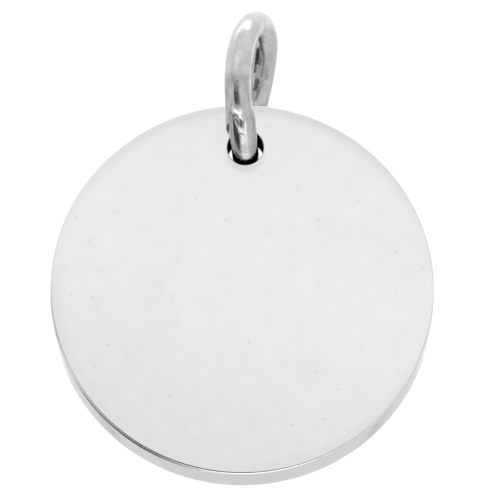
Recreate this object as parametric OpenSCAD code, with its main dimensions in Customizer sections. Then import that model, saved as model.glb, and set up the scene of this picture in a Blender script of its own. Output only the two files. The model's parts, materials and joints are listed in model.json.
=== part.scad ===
// Disc pendant: a thick round blank, drilled near its edge, on a heavy jump ring of round wire.
// The origin is where a chain bears, at the inside top of the ring. Z is up, and the disc
// hangs in the XZ plane with its front face towards -Y.

/* [Disc] */
// Diameter of the disc
disc_d = 15; // [12:0.5:22]
// Thickness of the disc
disc_t = 1.85; // [1.2:0.05:2.4]
// Radius of the rounded edges of its rim
rim_edge = 0.1; // [0.04:0.01:0.3]

/* [Hole] */
// Metal left between the hole and the rim
hole_web = 1.05; // [0.8:0.05:2]
// Play of the wire in the hole, top and bottom together
hole_play = 0.14; // [0.1:0.02:0.5]
// Radius of the rounded edges of the hole
hole_edge = 0.04; // [0.02:0.01:0.12]

/* [Jump ring] */
// Inside diameter of the ring, seen from its side
ring_id = 4.3; // [3.8:0.1:6]
// Diameter of the wire
wire_d = 1.05; // [0.8:0.05:1.3]
// Turn of the ring about the upright, in degrees
ring_turn = 5.5; // [0:0.5:8]
// Lean of the ring to the right, in degrees
ring_lean = 5.9; // [0:0.1:8]
// Bend of the ring out of its own plane, to each side
ring_bow = 0.18; // [0:0.02:0.24]
// Where round the ring that bend is widest, in degrees from the top
bow_at = 19; // [0:1:45]
// How far the bend between the hole and the seam stands out of the true round
heel = 0.12; // [0:0.02:0.2]

/* [Seam] */
// Where the wire's ends meet, in degrees from the top by way of the back
seam_at = 232; // [215:1:250]
// Slant of the cut, in degrees, lower on the right
seam_slant = 31; // [0:1:45]
// Gap between the two ends
seam_gap = 0.06; // [0.03:0.01:0.2]
// How far one end stands to the side of the other
seam_step = 0.1; // [0:0.02:0.2]
// Radius of the rounded edges of the ends
end_edge = 0.08; // [0.03:0.01:0.2]
// Length of wire over which the slant fades out
slant_run = 1.8; // [1.2:0.1:3]

/* [Hidden] */

$fn = 96;
WIRE_SIDES = 18;
RING_STEPS = 72;
END_STEPS = 3;
FREE_CUT = 1;

wire_r = wire_d / 2;
ring_r = ring_id / 2 + wire_r;
// Angles round the ring that the wire passes on its way from one end to the other
TOP = 360;
BOTTOM = 540;

// Centre of the ring's wire at an angle from the top, measured from the middle of the ring
function sideways(a) = ring_r * tan(ring_turn) * sin(a)
    + ring_r * tan(ring_lean) * (1 + cos(a))
    + ring_bow * (cos(2 * (a - bow_at)) - cos(2 * bow_at))
    + seam_step * (a - BOTTOM) / 360;
function heeled(a) = let (share = (a - BOTTOM) / (seam_at + 360 - BOTTOM))
    ring_r + (share > 0 && share < 1 ? heel * pow(sin(180 * share), 2) : 0);
function bent(a) = [sideways(a), heeled(a) * sin(a), heeled(a) * cos(a)];
function wire_centre(a) = bent(a) - bent(TOP) + [0, 0, wire_r];

// The wire curves through the hole, so between the two faces it climbs, slants and sways aside
climb = ring_r - sqrt(pow(ring_r, 2) - pow(disc_t / 2, 2));
slant = asin(disc_t / 2 / ring_r);
sway = max(abs(sideways(BOTTOM - slant)), abs(sideways(BOTTOM + slant)));
hole_d = wire_r + wire_r / cos(slant) + climb + sway + hole_play;
hole_r = hole_d / 2;

// The hole sits round the wire's lowest point, and the disc hangs below the hole
hole_centre = wire_centre(BOTTOM) + [0, 0, hole_r - (sway + hole_play) / 2 - wire_r];
hole_up = disc_d / 2 - hole_web - hole_r;
disc_centre = hole_centre - [0, 0, hole_up];

// Half section of the blank, with its rim's edges rounded
module blank_profile() {
    half_t = disc_t / 2;
    translate([0, -half_t]) square([disc_d / 2 - rim_edge, disc_t]);
    translate([0, rim_edge - half_t]) square([disc_d / 2, disc_t - 2 * rim_edge]);
    for (face = [-1, 1])
        translate([disc_d / 2 - rim_edge, face * (half_t - rim_edge)]) circle(rim_edge);
}

// Half section of what the drill and the edge rounding take away
module hole_profile() {
    translate([0, -disc_t / 2 - FREE_CUT]) square([hole_r, disc_t + 2 * FREE_CUT]);
    for (face = [0, 1]) mirror([0, face]) difference() {
        translate([0, disc_t / 2 - hole_edge]) square([hole_r + hole_edge, hole_edge + FREE_CUT]);
        translate([hole_r + hole_edge, disc_t / 2 - hole_edge]) circle(hole_edge);
    }
}

module disc() {
    color([0.88, 0.88, 0.88])
    translate(disc_centre) rotate([90, 0, 0]) difference() {
        rotate_extrude() blank_profile();
        translate([0, hole_up, 0]) rotate_extrude() hole_profile();
    }
}

function unit(v) = v / norm(v);
function along(a) = unit(bent(a + 1) - bent(a - 1));
function outward(a) = let (t = along(a), e = [0, sin(a), cos(a)]) unit(e - t * (t * e));
// How much of the cut's slant a station takes: all at either end, none past the run
function slanted(a) = max(0, 1 - min(a - first_a, last_a - a) / (slant_run * degrees_per_mm));
function wire_section(a, r) = [for (j = [0:WIRE_SIDES - 1])
    let (q = j * 360 / WIRE_SIDES,
         s = a - slanted(a) * tan(seam_slant) * r * sin(q) * degrees_per_mm,
         n = outward(s), b = cross(along(s), n))
    wire_centre(s) + r * (n * cos(q) + b * sin(q))];

// Distances along the ring as angles, and the wire's stations as pairs of angle and radius
degrees_per_mm = 180 / (PI * ring_r);
first_a = seam_at + seam_gap / 2 * degrees_per_mm;
last_a = seam_at + 360 - seam_gap / 2 * degrees_per_mm;
edge_a = end_edge * degrees_per_mm;
end_stations = [for (k = [0:END_STEPS]) let (q = 90 * k / END_STEPS)
    [edge_a * (1 - cos(q)), wire_r - end_edge * (1 - sin(q))]];
run_stations = [for (i = [1:RING_STEPS - 1])
    [first_a + edge_a + (last_a - first_a - 2 * edge_a) * i / RING_STEPS, wire_r]];
stations = concat(
    [for (e = end_stations) [first_a + e[0], e[1]]],
    run_stations,
    [for (k = [END_STEPS:-1:0]) [last_a - end_stations[k][0], end_stations[k][1]]]);

module jump_ring() {
    count = len(stations);
    color([0.76, 0.76, 0.76]) polyhedron(
        points = [for (s = stations) each wire_section(s[0], s[1])],
        faces = concat(
            [[for (j = [0:WIRE_SIDES - 1]) j]],
            [for (i = [0:count - 2], j = [0:WIRE_SIDES - 1]) let (k = (j + 1) % WIRE_SIDES)
                [i * WIRE_SIDES + j, (i + 1) * WIRE_SIDES + j,
                 (i + 1) * WIRE_SIDES + k, i * WIRE_SIDES + k]],
            [[for (j = [WIRE_SIDES - 1:-1:0]) (count - 1) * WIRE_SIDES + j]]));
}

disc();
jump_ring();
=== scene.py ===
import json
import math

import bmesh
import bpy
from mathutils import Matrix, Vector


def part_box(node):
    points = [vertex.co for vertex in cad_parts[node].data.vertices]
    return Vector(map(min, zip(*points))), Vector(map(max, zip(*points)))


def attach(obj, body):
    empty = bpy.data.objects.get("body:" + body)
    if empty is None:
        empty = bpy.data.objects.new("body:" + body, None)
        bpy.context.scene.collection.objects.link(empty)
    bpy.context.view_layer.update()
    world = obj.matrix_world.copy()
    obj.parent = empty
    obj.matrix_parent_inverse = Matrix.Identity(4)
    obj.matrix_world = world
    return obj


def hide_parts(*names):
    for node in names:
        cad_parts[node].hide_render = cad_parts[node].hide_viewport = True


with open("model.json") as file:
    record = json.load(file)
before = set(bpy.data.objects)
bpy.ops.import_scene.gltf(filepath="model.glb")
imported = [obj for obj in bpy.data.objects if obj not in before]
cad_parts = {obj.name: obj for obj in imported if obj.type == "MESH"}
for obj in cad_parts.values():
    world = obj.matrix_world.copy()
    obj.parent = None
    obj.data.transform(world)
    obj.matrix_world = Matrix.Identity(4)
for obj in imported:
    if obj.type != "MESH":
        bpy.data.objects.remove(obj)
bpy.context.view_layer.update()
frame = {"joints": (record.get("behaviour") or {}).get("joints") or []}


# Disc. A thick round blank stamped from stainless steel plate, both faces lapped flat and buffed
# to a mirror. The buffing wheel rounds every edge and rolls the faces off a little at the rim.
# The ring's hole is drilled through near the top, and its wall keeps the dull skin of the drill and
# is painted near black as shade.

MM = 0.001
low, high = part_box("disc")
disc_middle = (low + high) / 2
disc_r = (high.x - low.x) / 2
disc_half_t = (high.y - low.y) / 2
hole_up = frame["joints"][0]["pos_m"][2] - disc_middle.z
hole_r = 0.709 * MM
hole_edge = 0.04 * MM
hole_back_edge = 0.14 * MM
rim_edge_least = 0.05 * MM
rim_edge_most = 0.13 * MM
buffed_most_at = math.radians(225)
roll_off = 0.005 * MM
roll_off_w = 0.45 * MM
DISC_SIDES = 384
EDGE_STEPS = 10
ROLL_STEPS = 12
FACE_STEPS = 3
FACE_END = 0.97


def buffed_edge(turn):
    """Radius of the rim's edge at a turn clockwise from the top. The disc was held to the
    wheel for longest at its lower left, as seen from the front."""
    share = (1 + math.cos(turn - buffed_most_at)) / 2
    return rim_edge_least + (rim_edge_most - rim_edge_least) * share ** 2


def half_disc_loops(mouth_edge, rim_edge):
    """Circles that run from the rim's mid-depth over one face and into the hole. Each is
    its centre's height, its radius, its depth and the surface that starts there."""
    loops = [(0, disc_r, 0, "rim"), (0, disc_r, -disc_half_t / 2, "rim")]
    edge_y = disc_half_t - roll_off - rim_edge
    for k in range(EDGE_STEPS):
        q = math.pi / 2 * k / EDGE_STEPS
        r = disc_r - rim_edge * (1 - math.cos(q))
        loops.append((0, r, -edge_y - rim_edge * math.sin(q), "face"))
    for k in range(ROLL_STEPS + 1):
        share = k / ROLL_STEPS
        r = disc_r - rim_edge - roll_off_w * share
        loops.append((0, r, -disc_half_t + roll_off * (1 - share) ** 2, "face"))
    flat_r = disc_r - rim_edge - roll_off_w
    mouth = hole_r + mouth_edge
    for k in range(1, FACE_STEPS + 1):
        share = FACE_END * k / FACE_STEPS
        loops.append((hole_up * share, flat_r + (mouth - flat_r) * share, -disc_half_t, "face"))
    for k in range(EDGE_STEPS + 1):
        q = math.pi / 2 * k / EDGE_STEPS
        y = disc_half_t - mouth_edge * (1 - math.cos(q))
        loops.append((hole_up, mouth - mouth_edge * math.sin(q), -y, "face"))
    loops[-1] = loops[-1][:3] + ("hole",)
    return loops


def add(tree, kind, settings=None, *inputs):
    """Adds a node and sets its settings, then links or sets the inputs that it has in use, in
    order. Gives its first output in use."""
    node = tree.nodes.new(kind)
    for name, value in (settings or {}).items():
        setattr(node, name, value)
    in_use = [socket for socket in node.inputs if socket.enabled]
    for socket, value in zip(in_use, inputs):
        if isinstance(value, bpy.types.NodeSocket):
            tree.links.new(value, socket)
        elif value is not None:
            socket.default_value = value
    return next(socket for socket in node.outputs if socket.enabled)


def srgb(code):
    """Linear colour of an sRGB hex code."""
    parts = [int(code[i:i + 2], 16) / 255 for i in (1, 3, 5)]
    return [c / 12.92 if c <= 0.04045 else ((c + 0.055) / 1.055) ** 2.4 for c in parts] + [1.0]


SURFACES = ["face", "rim", "hole"]
disc_mesh = bpy.data.meshes.new("polished_disc")
mesh = bmesh.new()
sections = []
for i in range(DISC_SIDES):
    turn = 2 * math.pi * i / DISC_SIDES
    front = half_disc_loops(hole_edge, buffed_edge(turn))
    behind = half_disc_loops(hole_back_edge, buffed_edge(turn))
    back = [(up, r, -y, name) for up, r, y, name in behind]
    loops = front + [(hole_up, hole_r, 0, "hole")] + back[:0:-1]
    sections.append([mesh.verts.new(disc_middle + Vector((
        r * math.sin(turn), y, up + r * math.cos(turn)))) for up, r, y, _ in loops])
for i, section in enumerate(sections):
    after = sections[(i + 1) % DISC_SIDES]
    for j in range(len(loops)):
        k = (j + 1) % len(loops)
        name = loops[j][3] if j < len(front) else loops[k][3]
        quad = mesh.faces.new((section[j], after[j], after[k], section[k]))
        quad.smooth = True
        quad.material_index = SURFACES.index(name)
bmesh.ops.recalc_face_normals(mesh, faces=mesh.faces)
mesh.to_mesh(disc_mesh)
mesh.free()
disc = bpy.data.objects.new("polished_disc", disc_mesh)
bpy.context.collection.objects.link(disc)

MATH = "ShaderNodeMath"
SPREAD = "ShaderNodeMapRange"
NOISE = "ShaderNodeTexNoise"
MAPPING = "ShaderNodeMapping"
BUMP = "ShaderNodeBump"
MIX = "ShaderNodeMix"
TIMES = {"operation": "MULTIPLY"}
PLUS = {"operation": "ADD"}
LESS = {"operation": "SUBTRACT"}
LESS_HELD = {"operation": "SUBTRACT", "use_clamp": True}
OVER = {"operation": "DIVIDE"}
COLOURS = {"data_type": "RGBA"}


def surface(name, colour, metallic, roughness):
    """A material of one colour. Gives it, its tree and its shader's inputs."""
    made = bpy.data.materials.new(name)
    made.use_nodes = True
    shader = made.node_tree.nodes["Principled BSDF"]
    shader.inputs["Base Color"].default_value = srgb(colour)
    shader.inputs["Metallic"].default_value = metallic
    shader.inputs["Roughness"].default_value = roughness
    return made, made.node_tree, shader.inputs


# Stainless steel, mirror buffed: a cool grey metal with a clear image of what is round it. The
# wheel leaves faint haze in bands, a tiny pit every millimetre, and drag lines, which are drawn
# 0.05 mm apart so that they show, where the real ones are finer.
# In every material, and in the studio, a grain is a noise's detail and roughness, and four values
# are a ramp: the two between which it runs, then what it gives at either and beyond.
drag_apart = 0.05 * MM
drag_long = 1.111 * MM
drag_tilt = math.radians(12)
drag_grain = (4.0, 0.6)
drag_dulls = (0.5, 0.8, 0.0, 0.03)
drag_to_pit = 0.02
haze_wide = 2.857 * MM
haze_grain = (3.0, 0.5)
haze_dulls = (0.4, 0.7, 0.02, 0.07)
cloud_wide = 0.6667 * MM
cloud_grain = (3.0, 0.6)
cloud_tints = (0.35, 0.65, 0.0, 1.0)
pits_apart = 1 * MM
pit_sizes = (0.0, 1.0, 0.05, 0.1)
unpitted = 0.3
pit_depth = 0.002 * MM
face_relief = 0.1
face_steel, tree, steel = surface("Stainless steel, mirror buffed", "#E0E0E0", 1.0, 0.04)
place = add(tree, "ShaderNodeTexCoord").node.outputs["Object"]
drag = add(tree, MAPPING, None, place, None, (0, drag_tilt, 0),
           (1 / drag_long, 1 / drag_long, 1 / drag_apart))
lines = add(tree, NOISE, None, drag, 1.0, *drag_grain)
haze = add(tree, NOISE, None, place, 1 / haze_wide, *haze_grain)
tree.links.new(add(tree, MATH, PLUS, add(tree, SPREAD, None, haze, *haze_dulls),
                   add(tree, SPREAD, None, lines, *drag_dulls)), steel["Roughness"])
on_face = add(tree, MAPPING, None, place, None, (math.pi / 2, 0, 0), (1 / pits_apart,) * 3)
cells = add(tree, "ShaderNodeTexVoronoi", {"voronoi_dimensions": "2D"}, on_face, 1.0).node.outputs
chance = add(tree, "ShaderNodeSeparateColor", None, cells["Color"]).node.outputs
chosen = add(tree, MATH, {"operation": "GREATER_THAN"}, chance["Red"], unpitted)
wide = add(tree, SPREAD, None, chance["Green"], *pit_sizes)
near = add(tree, MATH, LESS_HELD, 1.0, add(tree, MATH, OVER, cells["Distance"], wide))
pit = add(tree, MATH, TIMES, add(tree, MATH, TIMES, near, chosen), chance["Blue"])
height = add(tree, MATH, LESS, add(tree, MATH, TIMES, lines, drag_to_pit), pit)
tree.links.new(add(tree, BUMP, None, face_relief, pit_depth, None, height), steel["Normal"])
cloud = add(tree, NOISE, None, place, 1 / cloud_wide, *cloud_grain)
clouded = add(tree, MIX, COLOURS, add(tree, SPREAD, None, cloud, *cloud_tints),
              srgb("#E1E1E1"), srgb("#DEDEDE"))
tree.links.new(add(tree, MIX, COLOURS, pit, clouded, srgb("#CECECE")), steel["Base Color"])
disc.data.materials.append(face_steel)


def groove(tree, steel, apart, long, grain, dulls, relief, depth):
    """Cuts fine rings round an axis along Y, which dull the steel and raise its surface."""
    place = add(tree, "ShaderNodeTexCoord").node.outputs["Object"]
    round_axis = add(tree, MAPPING, None, place, None, None, (1 / long, 1 / apart, 1 / long))
    rings = add(tree, NOISE, None, round_axis, 1.0, *grain)
    tree.links.new(add(tree, SPREAD, None, rings, *dulls), steel["Roughness"])
    tree.links.new(add(tree, BUMP, None, relief, depth, None, rings), steel["Normal"])


# Stainless steel, turned and buffed: fine lines run round the rim, drawn 0.04 mm apart so that
# they show, where the real ones are finer
rim_steel, tree, steel = surface("Stainless steel, turned and buffed", "#CBCBCB", 1.0, 0.1)
groove(tree, steel, apart=0.04 * MM, long=3.333 * MM, grain=(3.0, 0.6),
       dulls=(0.35, 0.7, 0.05, 0.14), relief=0.2, depth=0.004 * MM)
disc.data.materials.append(rim_steel)

# Stainless steel, as drilled: dull and ringed by the drill. Its colour and tint are painted near
# black, as the shade deep in so narrow a hole.
drilled_steel_painted_shade, tree, steel = surface("Stainless steel, as drilled, painted shade", "#1F1E1C", 1.0, 0.5)
steel["Specular Tint"].default_value = srgb("#4A4845")
groove(tree, steel, apart=0.0625 * MM, long=2 * MM, grain=(2.0, 0.5),
       dulls=(0.3, 0.7, 0.5, 0.7), relief=0.3, depth=0.01 * MM)
disc.data.materials.append(drilled_steel_painted_shade)

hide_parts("disc")
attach(disc, "disc")


# Jump ring. Heavy round wire of stainless steel, drawn bright, wound once round a mandrel, cut
# on a slant and passed through the disc's hole. Pliers closed it, which left it bent a little
# out of its plane, with one end standing to the side of the other and marks from the jaws.

low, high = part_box("jump_ring")
wire_r = high.z / 2
ring_r = (high.y - low.y) / 2 - wire_r
# How the ring is turned, leans and is bent
ring_turn = math.radians(5.5)
ring_lean = math.radians(5.9)
ring_bow = 0.18 * MM
bow_at = math.radians(19)
heel = 0.12 * MM
# The cut through the wire, closed but for its middle
seam_at = math.radians(232)
seam_gap = 0.002 * MM
seam_step = 0.1 * MM
seam_slant = math.radians(31)
slant_run = 1.8 * MM
end_edge = 0.05 * MM
seam_gape = 0.06 * MM
hook_slope = 1.6
hook_from = 0.14 * MM
hook_bend = 0.05 * MM
gape_at = -0.05 * MM
gape_half = 0.12 * MM
gape_end = 0.22 * MM
closed_from = -0.05 * MM
closed_to = 0.2 * MM
closed_edge = 0.03
# What the cutters and the pliers did to its ends
burr = 0.1 * MM
burr_from = 0.12 * MM
burr_to = 0.24 * MM
# Where the painted highlight on the burr fades out
burr_glint_to = 0.312 * MM
lip_edge = 0.07 * MM
flat_step = 0.03 * MM
flat_deep = 0.1 * MM
flat_run = 0.45 * MM
flat_end = 0.04 * MM
flat_from = -0.02 * MM
flat_to = 0.24 * MM
# Angles round the ring as the wire passes them, and the fineness of its mesh
TOP = 2 * math.pi
BOTTOM = 3 * math.pi
WIRE_SIDES = 48
WIRE_STEPS = 420

SOFT = {"interpolation_type": "SMOOTHSTEP"}
ABSOLUTE = {"operation": "ABSOLUTE"}
ROOT = {"operation": "SQRT"}
SINE = {"operation": "SINE"}
COSINE = {"operation": "COSINE"}
tree = bpy.data.node_groups.new("wound wire", "GeometryNodeTree")
tree.interface.new_socket("Geometry", in_out="INPUT", socket_type="NodeSocketGeometry")
tree.interface.new_socket("Geometry", in_out="OUTPUT", socket_type="NodeSocketGeometry")
sizes = {
    "Ring radius": ring_r, "Wire radius": wire_r, "Turn": ring_r * math.tan(ring_turn),
    "Lean": ring_r * math.tan(ring_lean), "Bow": ring_bow, "Bow at": bow_at,
    "Seam at": seam_at, "Seam gap": seam_gap, "Seam step": seam_step,
    "Slant": math.tan(seam_slant), "Slant run": slant_run, "End edge": end_edge,
    "Gape": seam_gape, "Heel": heel, "Hook": hook_slope,
    "Hook from": hook_from, "Hook bend": hook_bend, "Gape at": gape_at,
    "Gape half": gape_half, "Gape end": gape_end, "Closed from": closed_from,
    "Closed to": closed_to, "Closed edge": closed_edge, "Burr": burr, "Burr from": burr_from,
    "Burr to": burr_to, "Glint to": burr_glint_to, "Lip edge": lip_edge, "Flat step": flat_step,
    "Flat deep": flat_deep, "Flat run": flat_run, "Flat end": flat_end,
    "Flat from": flat_from, "Flat to": flat_to,
}
for name in sizes:
    tree.interface.new_socket(name, in_out="INPUT", socket_type="NodeSocketFloat")
given = tree.nodes.new("NodeGroupInput").outputs
made = tree.nodes.new("NodeGroupOutput").inputs
# The straight wire stands along Z, with X to become the ring's outside and Y its right side.
# Its steps crowd towards the two ends, where the cut edges need them.
whole_turn = add(tree, MATH, TIMES, given["Ring radius"], 2 * math.pi)
length = add(tree, MATH, LESS, whole_turn, given["Seam gap"])
half_length = add(tree, MATH, TIMES, length, 0.5)
rod = add(tree, "GeometryNodeMeshCylinder", {"fill_type": "NGON"}, WIRE_SIDES, WIRE_STEPS, 1,
          given["Wire radius"], 2.0)
spot = add(tree, "ShaderNodeSeparateXYZ", None, add(tree, "GeometryNodeInputPosition")).node.outputs
crowded = add(tree, MATH, SINE, add(tree, MATH, TIMES, spot["Z"], math.pi / 2))
along = add(tree, MATH, TIMES, crowded, half_length)
from_end = add(tree, MATH, LESS, half_length, add(tree, MATH, ABSOLUTE, along))
upper = add(tree, MATH, {"operation": "LESS_THAN"}, spot["Z"], 0.0)

# The cut ends are rounded: the radius falls along a quarter circle within the edge's own size.
# In the middle the upper end has a blunter lip, and the cutters raised a burr behind it that
# catches the light. To the sides, where the ends were pressed together, there is next to no
# edge left.
off_gape = add(tree, MATH, ABSOLUTE, add(tree, MATH, LESS, spot["Y"], given["Gape at"]))
gaping = add(tree, SPREAD, SOFT, off_gape,
             given["Gape half"], given["Gape end"], 1.0, given["Closed edge"])
edge = add(tree, MATH, TIMES, gaping, add(tree, MATH, PLUS, given["End edge"], add(
    tree, MATH, TIMES, upper, given["Lip edge"])))
into_edge = add(tree, MATH, LESS_HELD, 1.0, add(tree, MATH, OVER, from_end, edge))
fall = add(tree, MATH, LESS, 1.0, add(tree, MATH, ROOT, add(
    tree, MATH, LESS, 1.0, add(tree, MATH, TIMES, into_edge, into_edge))))
thinner = add(tree, MATH, OVER, add(tree, MATH, TIMES, fall, edge), given["Wire radius"])
narrow = add(tree, MATH, LESS, 1.0, thinner)
burr_rise = add(tree, SPREAD, None, from_end,
                given["Burr from"], given["Burr to"], given["Burr"], 0.0)
fatter = add(tree, MATH, PLUS, narrow, add(tree, MATH, OVER, add(
    tree, MATH, TIMES, add(tree, MATH, TIMES, upper, gaping), burr_rise), given["Wire radius"]))
round_x = add(tree, MATH, TIMES, spot["X"], fatter)
out_y = add(tree, MATH, TIMES, spot["Y"], narrow)

# The slant moves the right side of both ends down the wire, and fades out along the run. Both
# ends follow one line, though they stand a step apart: past the middle the cutters' jaw turned
# the cut back up, in a hook with a rounded bend. Only the middle of the seam gapes.
fade = add(tree, MATH, LESS_HELD, 1.0, add(tree, MATH, OVER, from_end, given["Slant run"]))
near_end = add(tree, MATH, LESS_HELD, 1.0, add(tree, MATH, OVER, from_end, given["Flat run"]))
open_right = add(tree, SPREAD, SOFT, spot["Y"], given["Closed from"], given["Closed to"], 0.0, 1.0)
step = add(tree, MATH, TIMES, given["Seam step"], add(
    tree, MATH, LESS, 1.0, add(tree, MATH, TIMES, near_end, open_right)))
across = add(tree, MATH, PLUS, out_y, add(
    tree, MATH, TIMES, step, add(tree, MATH, LESS, 0.5, upper)))
past = add(tree, MATH, LESS, across, given["Hook from"])
rounded = add(tree, MATH, ROOT, add(
    tree, MATH, PLUS, add(tree, MATH, TIMES, past, past),
    add(tree, MATH, TIMES, given["Hook bend"], given["Hook bend"])))
turned_up = add(tree, MATH, TIMES, add(tree, MATH, PLUS, past, rounded),
                add(tree, MATH, TIMES, given["Hook"], 0.5))

# The pliers pressed a flat into the outside of the lower end. It starts at a small step, sinks
# in a curve towards the cut, and runs out to the right, where the two ends meet flush.
past_flat = add(tree, MATH, LESS, from_end, given["Flat run"])
on_flat = add(tree, MATH, LESS_HELD, 1.0, add(tree, MATH, OVER, past_flat, given["Flat end"]))
depth = add(tree, MATH, PLUS, add(tree, MATH, TIMES, on_flat, given["Flat step"]),
            add(tree, MATH, TIMES, add(tree, MATH, TIMES, near_end, near_end), given["Flat deep"]))
flat_side = add(tree, SPREAD, SOFT, spot["Y"], given["Flat from"], given["Flat to"], 1.0, 0.0)
flat_x = add(tree, MATH, LESS, given["Wire radius"], add(tree, MATH, TIMES, depth, flat_side))
out_x = add(tree, MATH, {"operation": "MINIMUM"}, round_x, add(tree, MATH, PLUS, flat_x, upper))

# Each point's place along the wire, with the slant, the hook and the gape of the upper end
opened = add(tree, MATH, TIMES, add(tree, MATH, TIMES, gaping, upper), given["Gape"])
shift = add(tree, MATH, TIMES, fade, add(tree, MATH, LESS, add(
    tree, MATH, LESS, add(tree, MATH, TIMES, across, given["Slant"]), turned_up), opened))
out_z = add(tree, MATH, LESS, along, shift)

# Winding turns length into an angle from the top, by way of the front
angle = add(tree, MATH, PLUS, add(tree, MATH, PLUS, given["Seam at"], math.pi),
            add(tree, MATH, OVER, out_z, given["Ring radius"]))
sine = add(tree, MATH, SINE, angle)
cosine = add(tree, MATH, COSINE, angle)
bow_angle = add(tree, MATH, TIMES, add(tree, MATH, LESS, angle, given["Bow at"]), 2.0)
aside = [
    add(tree, MATH, TIMES, given["Turn"], sine),
    add(tree, MATH, TIMES, given["Lean"], add(tree, MATH, LESS, cosine, 1.0)),
    add(tree, MATH, TIMES, given["Bow"], add(tree, MATH, LESS, add(
        tree, MATH, COSINE, bow_angle), math.cos(2 * bow_at))),
    add(tree, MATH, TIMES, step, add(
        tree, MATH, OVER, add(tree, MATH, LESS, angle, TOP), 2 * math.pi)),
]
x = out_y
for part in aside:
    x = add(tree, MATH, PLUS, x, part)

# The bend between hole and seam stands out of the round
heel_share = add(tree, MATH, {"operation": "DIVIDE", "use_clamp": True}, add(
    tree, MATH, LESS, angle, BOTTOM), add(tree, MATH, PLUS, given["Seam at"], TOP - BOTTOM))
heel_wave = add(tree, MATH, SINE, add(tree, MATH, TIMES, heel_share, math.pi))
stands_out = add(tree, MATH, TIMES, add(tree, MATH, TIMES, heel_wave, heel_wave), given["Heel"])
reach = add(tree, MATH, PLUS, given["Ring radius"], add(tree, MATH, PLUS, out_x, stands_out))
y = add(tree, MATH, TIMES, reach, sine)
ring_down = add(tree, MATH, LESS, given["Ring radius"], given["Wire radius"])
z = add(tree, MATH, LESS, add(tree, MATH, TIMES, reach, cosine), ring_down)

# The draw marks follow the wire, so each point keeps its place on the straight wire. The burr's
# flank is marked too, for the painted highlight on it.
glint_on_burr = add(tree, SPREAD, None, from_end, given["Burr to"], given["Glint to"], 1.0, 0.0)
burr_glint = add(tree, MATH, TIMES, add(tree, MATH, TIMES, upper, gaping), glint_on_burr)
kept = rod
for name, value in (("wire_along", along), ("wire_out", spot["X"]), ("wire_side", spot["Y"]),
                    ("wire_painted_glint", burr_glint)):
    kept = add(tree, "GeometryNodeStoreNamedAttribute",
               {"data_type": "FLOAT", "domain": "POINT"}, kept, True, name, value)
wound = add(tree, "GeometryNodeSetPosition", None, kept, True,
            add(tree, "ShaderNodeCombineXYZ", None, x, y, z))
smooth = add(tree, "GeometryNodeSetShadeSmooth", None, wound)

# Stainless steel, drawn and tumbled: bright but softer in its reflections than the disc. Draw
# marks run down the wire over long soft flats, and are drawn 0.07 mm apart so that they show.
# Tumbling left it a little uneven, in waves, with small dings. The patterns follow the wire.
marks_apart = 0.07143 * MM
marks_long = 2.5 * MM
marks_grain = (3.0, 0.6)
marks_dull = (0.35, 0.7, 0.14, 0.24)
marks_relief = 0.25
marks_depth = 0.005 * MM
flats_wide = 0.2381 * MM
flats_long = 2.857 * MM
flats_grain = (1.0, 0.5)
flats_relief = 0.8
flats_depth = 0.04 * MM
dings_apart = 0.3846 * MM
dings_rise = (0.05, 0.3, 0.0, 1.0)
dings_relief = 0.2
dings_depth = 0.02 * MM
waves_wide = 0.4545 * MM
waves_from = 1.3 * MM
waves_grain = (2.0, 0.5)
waves_dull = (0.4, 0.7, 0.0, 0.06)
waves_tint = (0.35, 0.65, 0.0, 1.0)
waves_relief = 0.45
waves_depth = 0.06 * MM
wire_steel, paint, steel = surface("Stainless steel, drawn and tumbled", "#C6C6C6", 1.0, 0.16)
at = [add(paint, "ShaderNodeAttribute", {"attribute_name": name}).node.outputs["Fac"]
      for name in ("wire_along", "wire_out", "wire_side")]
unwound = add(paint, "ShaderNodeCombineXYZ", None, *at)
shifted = add(paint, MAPPING, None, unwound, (waves_from, 0, 0))
stretched = add(paint, MAPPING, None, unwound, None, None,
                (1 / marks_long, 1 / marks_apart, 1 / marks_apart))
marks = add(paint, NOISE, None, stretched, 1.0, *marks_grain)
drawn = add(paint, MAPPING, None, unwound, None, None,
            (1 / flats_long, 1 / flats_wide, 1 / flats_wide))
flats = add(paint, NOISE, None, drawn, 1.0, *flats_grain)
waves = add(paint, NOISE, None, shifted, 1 / waves_wide, *waves_grain)
dings = add(paint, "ShaderNodeTexVoronoi", {"feature": "SMOOTH_F1"}, shifted, 1 / dings_apart)
dented = add(paint, SPREAD, None, dings, *dings_rise)
paint.links.new(add(paint, MATH, PLUS, add(paint, SPREAD, None, marks, *marks_dull),
                    add(paint, SPREAD, None, waves, *waves_dull)), steel["Roughness"])
relief = None
for strength, deep, pattern in (
        (marks_relief, marks_depth, marks), (flats_relief, flats_depth, flats),
        (dings_relief, dings_depth, dented), (waves_relief, waves_depth, waves)):
    relief = add(paint, BUMP, None, strength, deep, None, pattern, relief)
paint.links.new(relief, steel["Normal"])
tint = add(paint, MIX, COLOURS, add(paint, SPREAD, None, waves, *waves_tint),
           srgb("#CACACA"), srgb("#BCBCBC"))
# Painted highlight: the burr's flank is painted near white, for the glint it shows
painted_glint = add(paint, "ShaderNodeAttribute", {"attribute_name": "wire_painted_glint"}).node.outputs["Fac"]
paint.links.new(add(paint, MIX, COLOURS, painted_glint, tint, srgb("#FAFAFA")), steel["Base Color"])

solid = add(tree, "GeometryNodeRealizeInstances", None, smooth)
tree.links.new(add(tree, "GeometryNodeSetMaterial", None, solid, True, wire_steel),
               made["Geometry"])

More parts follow.
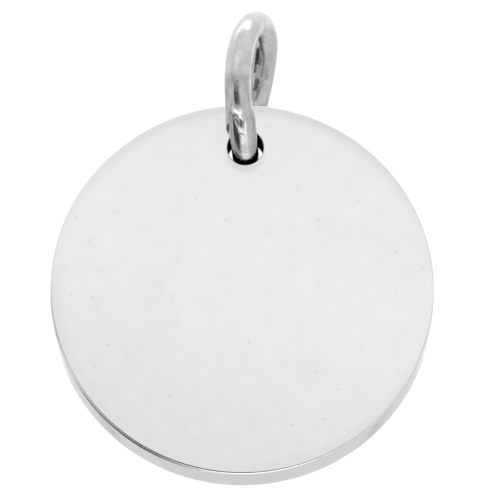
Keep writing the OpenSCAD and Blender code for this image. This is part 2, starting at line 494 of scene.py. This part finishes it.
blank = bpy.data.objects.new("wire blank", bpy.data.meshes.new("wire blank"))
bpy.context.collection.objects.link(blank)
winding = blank.modifiers.new("winding", "NODES")
winding.node_group = tree
for item in tree.interface.items_tree:
    if item.item_type == "SOCKET" and item.name in sizes:
        winding[item.identifier] = sizes[item.name]
seen = blank.evaluated_get(bpy.context.evaluated_depsgraph_get())
ring = bpy.data.objects.new("wound_ring", bpy.data.meshes.new_from_object(seen))
bpy.data.objects.remove(blank)
bpy.context.collection.objects.link(ring)
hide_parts("jump_ring")
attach(ring, "jump_ring")


# Camera. A long lens a quarter of a metre off looks up at the hanging disc from a little below
# and from a shade to the right, and is rolled a little.

view_distance = 250 * MM
view_right = math.radians(0.87)
view_up = math.radians(15.98)
view_roll = math.radians(1.41)
aim_right = 0.315 * MM
aim_up = 1.487 * MM
camera = bpy.data.objects.new("camera", bpy.data.cameras.new("camera"))
bpy.context.collection.objects.link(camera)
camera.data.sensor_width = 36
camera.data.lens = 460.9
camera.data.clip_start = 0.01
turn = (Matrix.Rotation(view_right, 3, "Z") @ Matrix.Rotation(math.pi / 2 + view_up, 3, "X")
        @ Matrix.Rotation(view_roll, 3, "Z"))
front_face = disc_middle - Vector((0, disc_half_t, 0))
place = front_face + turn @ Vector((aim_right, aim_up, view_distance))
camera.matrix_world = Matrix.Translation(place) @ turn.to_4x4()
bpy.context.scene.camera = camera


# Studio. A pale paper floor well below the pendant, a white tent of light all round it with a
# brighter panel in front and a strip light overhead, a lamp on the paper, and a dark card and a
# sheet of felt, whose reflections are the dark lines on the rounded edges and down the wire.

FLOOR_DROP = 0.25
FLOOR_WIDE = 24


def stretch_out(name, corner, edge, next_edge, material):
    """A flat sheet of paper, card or cloth, given by a corner and the two edges from it."""
    sheet = bpy.data.objects.new(name, bpy.data.meshes.new(name))
    first, along, up = Vector(corner), Vector(edge), Vector(next_edge)
    sheet.data.from_pydata([first, first + along, first + along + up, first + up], [],
                           [(0, 1, 2, 3)])
    sheet.data.materials.append(material)
    bpy.context.collection.objects.link(sheet)
    return sheet


paper = surface("White paper floor", "#DEDEDE", 0.0, 0.9)[0]
floor = stretch_out("floor", (-FLOOR_WIDE / 2, -FLOOR_WIDE / 2, -FLOOR_DROP),
                    (FLOOR_WIDE, 0, 0), (0, FLOOR_WIDE, 0), paper)


def thin_out(tree, alpha, ramps):
    """Makes a sheet see-through near its edges. Each edge has a row: the axis across it, and a
    ramp along that axis."""
    spot = add(tree, "ShaderNodeSeparateXYZ", None,
               add(tree, "ShaderNodeTexCoord").node.outputs["Object"]).node.outputs
    thick = 1.0
    for axis, ramp in ramps:
        thick = add(tree, MATH, TIMES, add(tree, SPREAD, None, spot[axis], *ramp), thick)
    tree.links.new(thick, alpha)


# The card stands in front of the disc, by the photographer, and thins out at its sides and head
CARD_LEFT = -0.285
CARD_RIGHT = 0.17
CARD_FOOT = -0.248
CARD_HEAD = -0.035
CARD_Y = -0.3
CARD_FADE_LEFT = 0.035
CARD_FADE_RIGHT = 0.14
CARD_FADE_HEAD = 0.12
CARD_HEAD_ALPHA = 0.6
black, tree, shader = surface("Black card", "#101010", 0.0, 0.9)
thin_out(tree, shader["Alpha"], [
    ("X", (CARD_LEFT, CARD_LEFT + CARD_FADE_LEFT, 0.0, 1.0)),
    ("X", (CARD_RIGHT - CARD_FADE_RIGHT, CARD_RIGHT, 1.0, 0.0)),
    ("Z", (CARD_HEAD - CARD_FADE_HEAD, CARD_HEAD, 1.0, CARD_HEAD_ALPHA))])
card = stretch_out("dark card", (CARD_LEFT, CARD_Y, CARD_FOOT), (CARD_RIGHT - CARD_LEFT, 0, 0),
                   (0, 0, CARD_HEAD - CARD_FOOT), black)
card.visible_camera = False

# The felt lies on the paper to the left, and widens the dark line at the disc's lower left
FELT_LEFT = -0.85
FELT_RIGHT = -0.06
FELT_NEAR = -0.17
FELT_FAR = 0.4
FELT_UP = 0.001 - FLOOR_DROP
FELT_FADE = 0.14
FELT_FADE_LEFT = 0.42
felt, tree, shader = surface("Black felt", "#282828", 0.0, 1.0)
thin_out(tree, shader["Alpha"], [
    ("X", (FELT_LEFT, FELT_LEFT + FELT_FADE_LEFT, 0.0, 1.0)),
    ("X", (FELT_RIGHT - FELT_FADE, FELT_RIGHT, 1.0, 0.0)),
    ("Y", (FELT_NEAR, FELT_NEAR + FELT_FADE, 0.0, 1.0)),
    ("Y", (FELT_FAR - FELT_FADE, FELT_FAR, 1.0, 0.0))])
sheet = stretch_out("dark sheet", (FELT_LEFT, FELT_NEAR, FELT_UP), (FELT_RIGHT - FELT_LEFT, 0, 0),
                    (0, FELT_FAR - FELT_NEAR, 0), felt)
sheet.visible_camera = False

# The lamp lights a round patch of the paper, which shines up into the wire's lower bend
lamp = bpy.data.objects.new("paper light", bpy.data.lights.new("paper light", "SPOT"))
lamp.data.spot_size = math.radians(30)
lamp.data.spot_blend = 1.0
lamp.data.shadow_soft_size = 0.08
lamp.data.energy = 26
lamp.location = (0.04, -0.165, 0.35)
lamp.visible_glossy = False
lamp.visible_camera = False
bpy.context.collection.objects.link(lamp)

# The tent's brightness goes by direction, given by its X, Y and Z as parts of one. Behind, the
# tent is white but duller low down, where the wall meets the floor.
WALL_FOOT = (-0.02, 0.05, 0.53, 0.7)
WALL_HEAD = (0.17, 0.27, 0.0, 0.3)
WALL_MIDDLE = (0.55, 0.85, 1.06, 1.2)
tent = bpy.data.worlds.new("white tent")
bpy.context.scene.world = tent
tent.use_nodes = True
tree = tent.node_tree
toward = add(tree, "ShaderNodeSeparateXYZ", None,
             add(tree, "ShaderNodeTexCoord")).node.outputs
behind = add(tree, MATH, TIMES,
             add(tree, MATH, PLUS, add(tree, SPREAD, None, toward["Z"], *WALL_FOOT),
                 add(tree, SPREAD, None, toward["Z"], *WALL_HEAD)),
             add(tree, SPREAD, SOFT, toward["Y"], *WALL_MIDDLE))

# In front hangs a panel, tilted a little, that is brightest above eye level. Its top falls off
# to the right, and a brow of light lies over it.
FRONT = (-0.5, -0.85, 0.0, 1.0)
PANEL_TILT = (-0.12, 0.03, -0.036, 0.009)
PANEL_FOOT = (0.03, 0.15, 0.65, 1.0)
PANEL_HEAD = (0.235, 0.262, 1.0, 1.115)
TOP_FALL = (-0.25, 0.4, 0.0, 0.41)
TOP_FROM = (0.287, 0.32, 0.0, 1.0)
TOP_TO = (0.36, 0.5, 1.0, 0.0)
BROW_UP = 0.55
BROW = (0.05, 0.2, 0.2, 0.0)
tilted = add(tree, MATH, PLUS, toward["Z"], add(tree, SPREAD, None, toward["X"], *PANEL_TILT))
panel = add(tree, MATH, TIMES, add(tree, SPREAD, None, tilted, *PANEL_HEAD),
            add(tree, SPREAD, None, tilted, *PANEL_FOOT))
panel_top = add(tree, MATH, TIMES, add(tree, SPREAD, None, toward["X"], *TOP_FALL),
                add(tree, SPREAD, None, toward["Z"], *TOP_FROM))
panel_top = add(tree, MATH, TIMES, panel_top, add(tree, SPREAD, None, toward["Z"], *TOP_TO))
off_brow = add(tree, MATH, ABSOLUTE, add(tree, MATH, LESS, toward["Z"], BROW_UP))
before = add(tree, MATH, PLUS, add(tree, MATH, LESS, panel, panel_top),
             add(tree, SPREAD, SOFT, off_brow, *BROW))
level = add(tree, MIX, {"data_type": "FLOAT"}, add(tree, SPREAD, SOFT, toward["Y"], *FRONT),
            behind, before)

# The joint between two cloths draws a soft dull band down the tent at the front left
JOINT_AT = math.radians(46)
JOINT = (0.0, math.radians(18), 0.2, 0.0)
round_left = add(tree, MATH, {"operation": "ARCTAN2"}, toward["X"],
                 add(tree, MATH, TIMES, toward["Y"], -1.0))
off_joint = add(tree, MATH, ABSOLUTE, add(tree, MATH, PLUS, round_left, JOINT_AT))
level = add(tree, MATH, LESS, level, add(tree, SPREAD, SOFT, off_joint, *JOINT))

# Overhead hangs a long strip light, a little askew, under a roof that is brighter to the back
STRIP_SKEW = 0.06
STRIP_Y = 0.07
STRIP_X = -0.1
STRIP_WIDTH = (0.0, 0.34, 0.9, 0.0)
STRIP_LENGTH = (0.4, 0.64, 1.0, 0.0)
ROOF_NEAR = (-0.3, 0.3, 0.0, 0.15)
ROOF_FAR = (0.6, 0.85, 1.0, 0.0)
ROOF_SIDES = (0.4, 0.8, 1.0, -0.4)
OVERHEAD = (0.3, 0.6, 0.0, 1.0)
skewed = add(tree, MATH, PLUS, toward["Y"], add(tree, MATH, TIMES, toward["X"], STRIP_SKEW))
off_middle = add(tree, MATH, ABSOLUTE, add(tree, MATH, LESS, skewed, STRIP_Y))
off_end = add(tree, MATH, ABSOLUTE, add(tree, MATH, LESS, toward["X"], STRIP_X))
strip = add(tree, MATH, TIMES, add(tree, SPREAD, SOFT, off_middle, *STRIP_WIDTH),
            add(tree, SPREAD, SOFT, off_end, *STRIP_LENGTH))
roof = add(tree, MATH, TIMES, add(tree, SPREAD, SOFT, toward["Y"], *ROOF_NEAR),
           add(tree, SPREAD, SOFT, toward["Y"], *ROOF_FAR))
roof = add(tree, MATH, TIMES, roof, add(tree, SPREAD, SOFT, off_end, *ROOF_SIDES))
overhead = add(tree, MATH, TIMES, add(tree, MATH, PLUS, strip, roof),
               add(tree, SPREAD, None, toward["Z"], *OVERHEAD))
level = add(tree, MATH, PLUS, level, overhead)

# The camera sees an even white ground in place of all this
GROUND = 1.05
seen = add(tree, MIX, {"data_type": "FLOAT"}, add(tree, "ShaderNodeLightPath"), level, GROUND)
tree.links.new(seen, tree.nodes["Background"].inputs["Strength"])
tree.nodes["Background"].inputs["Color"].default_value = (1, 1, 1, 1)
bpy.context.scene.view_settings.view_transform = "Standard"
